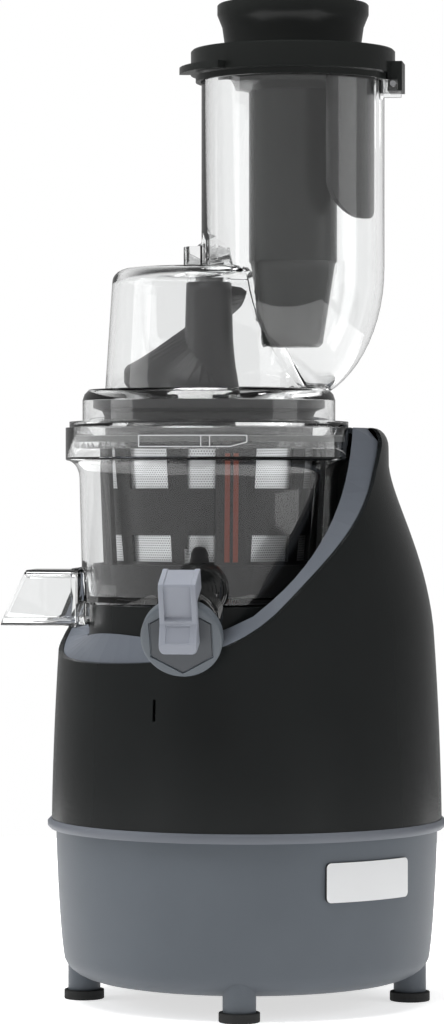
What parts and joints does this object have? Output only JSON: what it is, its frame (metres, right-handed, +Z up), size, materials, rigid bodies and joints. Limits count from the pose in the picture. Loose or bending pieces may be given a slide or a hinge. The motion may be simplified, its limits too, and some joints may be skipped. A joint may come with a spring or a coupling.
{
  "type": "cold press juicer",
  "caption": "Upright slow juicer: motor base with a cut-away cradle, clear juicing bowl with capped spout and pulp chute, auger, and a clear wide feed tube with pusher.",
  "frame": {"origin": "centre of the part's bounding box, on the plane of the foot soles", "axes": "+Z up, juice spout towards -Y, pulp chute towards -X, feed tube towards +X"},
  "size_m": [0.2298, 0.243, 0.5194],
  "materials": {
    "housing": "satin moulded",
    "black_gloss": "gloss moulded",
    "trim_grey": "satin moulded",
    "black_matte": "fine texture",
    "foot_rubber": "matte",
    "silicone_red": "satin silicone",
    "silicone_pale": "satin silicone",
    "steel": "turned",
    "bright_steel": "bright pins",
    "mesh_steel": "perforated sheet",
    "can_steel": "painted",
    "copper": "enamelled wire",
    "cast_alloy": "cast",
    "gear_plastic": "moulded",
    "board": "circuit board",
    "plate_white": "bare label plate",
    "clear_plastic": "clear moulded",
    "dark_plastic": "food grade moulded",
    "cap_grey": "satin moulded"
  },
  "bodies": {
    "base_unit": {"base_housing": "housing", "bottom_plate": "black_matte", "plate_screws": "steel", "rubber_feet": "foot_rubber", "foot_screws": "steel", "band_ring": "trim_grey", "upper_shell": "black_gloss", "cradle_trim": "trim_grey", "bowl_cradle": "black_matte", "drum_base": "black_gloss", "nameplate": "plate_white", "motor_can": "can_steel", "motor_stator": "steel", "motor_windings": "copper", "motor_bearings": "steel", "motor_bushes": "foot_rubber", "gearbox_plate": "cast_alloy", "gearbox_cover": "cast_alloy", "lay_pin": "steel", "shaft_bearings": "steel", "shaft_seal": "foot_rubber", "circuit_board": "board", "capacitor": "cast_alloy", "interlock_switch": "black_matte", "switch_bezel": "black_matte", "cord_inlet": "black_matte", "inlet_pins": "bright_steel"},
    "drive": {"output_gear": "gear_plastic", "drive_shaft": "steel"},
    "layshaft": {"lay_gear": "gear_plastic"},
    "rotor": {"motor_rotor": "steel", "cooling_fan": "black_matte", "motor_pinion": "steel"},
    "rocker": {"power_rocker": "foot_rubber"},
    "bowl_set": {"bowl": "clear_plastic", "bowl_seal": "silicone_red", "chute_gasket": "silicone_pale", "pulp_chute": "clear_plastic", "strainer_frame": "dark_plastic", "strainer_mesh": "mesh_steel"},
    "auger_set": {"auger": "dark_plastic", "auger_insert": "steel"},
    "wiper": {"wiper_frame": "dark_plastic", "wiper_blades": "silicone_red"},
    "front_idler": {"idler_front": "gear_plastic"},
    "back_idler": {"idler_back": "gear_plastic"},
    "cap": {"juice_cap": "cap_grey", "cap_seal": "silicone_red", "cap_lever": "cap_grey", "cap_hinge_pin": "bright_steel"},
    "hopper_ring": {"lid_seal": "silicone_pale"},
    "hopper_set": {"hopper": "clear_plastic", "top_bush": "clear_plastic", "feed_lid": "black_gloss", "feed_flap": "dark_plastic", "lid_hinge_pin": "bright_steel"},
    "pusher_set": {"pusher": "black_gloss", "pusher_cap": "black_gloss"}
  },
  "joints": [
    {"name": "drive_spin", "type": "hinge", "parent": "base_unit", "child": "drive", "pos_m": [-0.00689, -0.00056, 0.2087], "axis": [0, 0, 1], "continuous": true},
    {"name": "layshaft_spin", "type": "hinge", "parent": "base_unit", "child": "layshaft", "pos_m": [0.03158, 0.0379, 0.13], "axis": [0, 0, 1], "continuous": true},
    {"name": "rotor_spin", "type": "hinge", "parent": "base_unit", "child": "rotor", "pos_m": [0.02446, 0.00262, 0.07], "axis": [0, 0, 1], "continuous": true},
    {"name": "rocker_tip", "type": "hinge", "parent": "base_unit", "child": "rocker", "pos_m": [0.06606, 0.09605, 0.05523], "axis": [0.8192, -0.5736, 0], "range_deg": [0, 18]},
    {"name": "bowl_lift", "type": "slide", "parent": "base_unit", "child": "bowl_set", "axis": [0, 0, 1], "range_m": [0, 0.12]},
    {"name": "auger_spin", "type": "hinge", "parent": "bowl_set", "child": "auger_set", "pos_m": [-0.00689, -0.00056, 0.2087], "axis": [0, 0, 1], "continuous": true},
    {"name": "wiper_spin", "type": "hinge", "parent": "bowl_set", "child": "wiper", "pos_m": [-0.00689, -0.00056, 0.2087], "axis": [0, 0, 1], "continuous": true},
    {"name": "front_idler_spin", "type": "hinge", "parent": "bowl_set", "child": "front_idler", "pos_m": [-0.00689, -0.03556, 0.2087], "axis": [0, 0, 1], "continuous": true},
    {"name": "back_idler_spin", "type": "hinge", "parent": "bowl_set", "child": "back_idler", "pos_m": [-0.00689, 0.03444, 0.2087], "axis": [0, 0, 1], "continuous": true},
    {"name": "cap_swing", "type": "hinge", "parent": "bowl_set", "child": "cap", "pos_m": [-0.00689, -0.10437, 0.22082], "axis": [-1, 0, 0], "range_deg": [0, 95]},
    {"name": "hopper_lift", "type": "slide", "parent": "bowl_set", "child": "hopper_ring", "axis": [0, 0, 1], "range_m": [0, 0.1]},
    {"name": "hopper_turn", "type": "hinge", "parent": "hopper_ring", "child": "hopper_set", "pos_m": [-0.00689, -0.00056, 0.2997], "axis": [0, 0, 1], "range_deg": [0, 40]},
    {"name": "pusher_slide", "type": "slide", "parent": "hopper_set", "child": "pusher_set", "axis": [0, 0, 1], "range_m": [0, 0.17]}
  ],
  "couplings": [
    {"joint": "layshaft_spin", "follows": "drive_spin", "ratio": -4.6667},
    {"joint": "rotor_spin", "follows": "drive_spin", "ratio": 23.333},
    {"joint": "auger_spin", "follows": "drive_spin", "ratio": 1},
    {"joint": "front_idler_spin", "follows": "drive_spin", "ratio": -0.75},
    {"joint": "back_idler_spin", "follows": "drive_spin", "ratio": -0.75},
    {"joint": "wiper_spin", "follows": "drive_spin", "ratio": -0.27273}
  ]
}
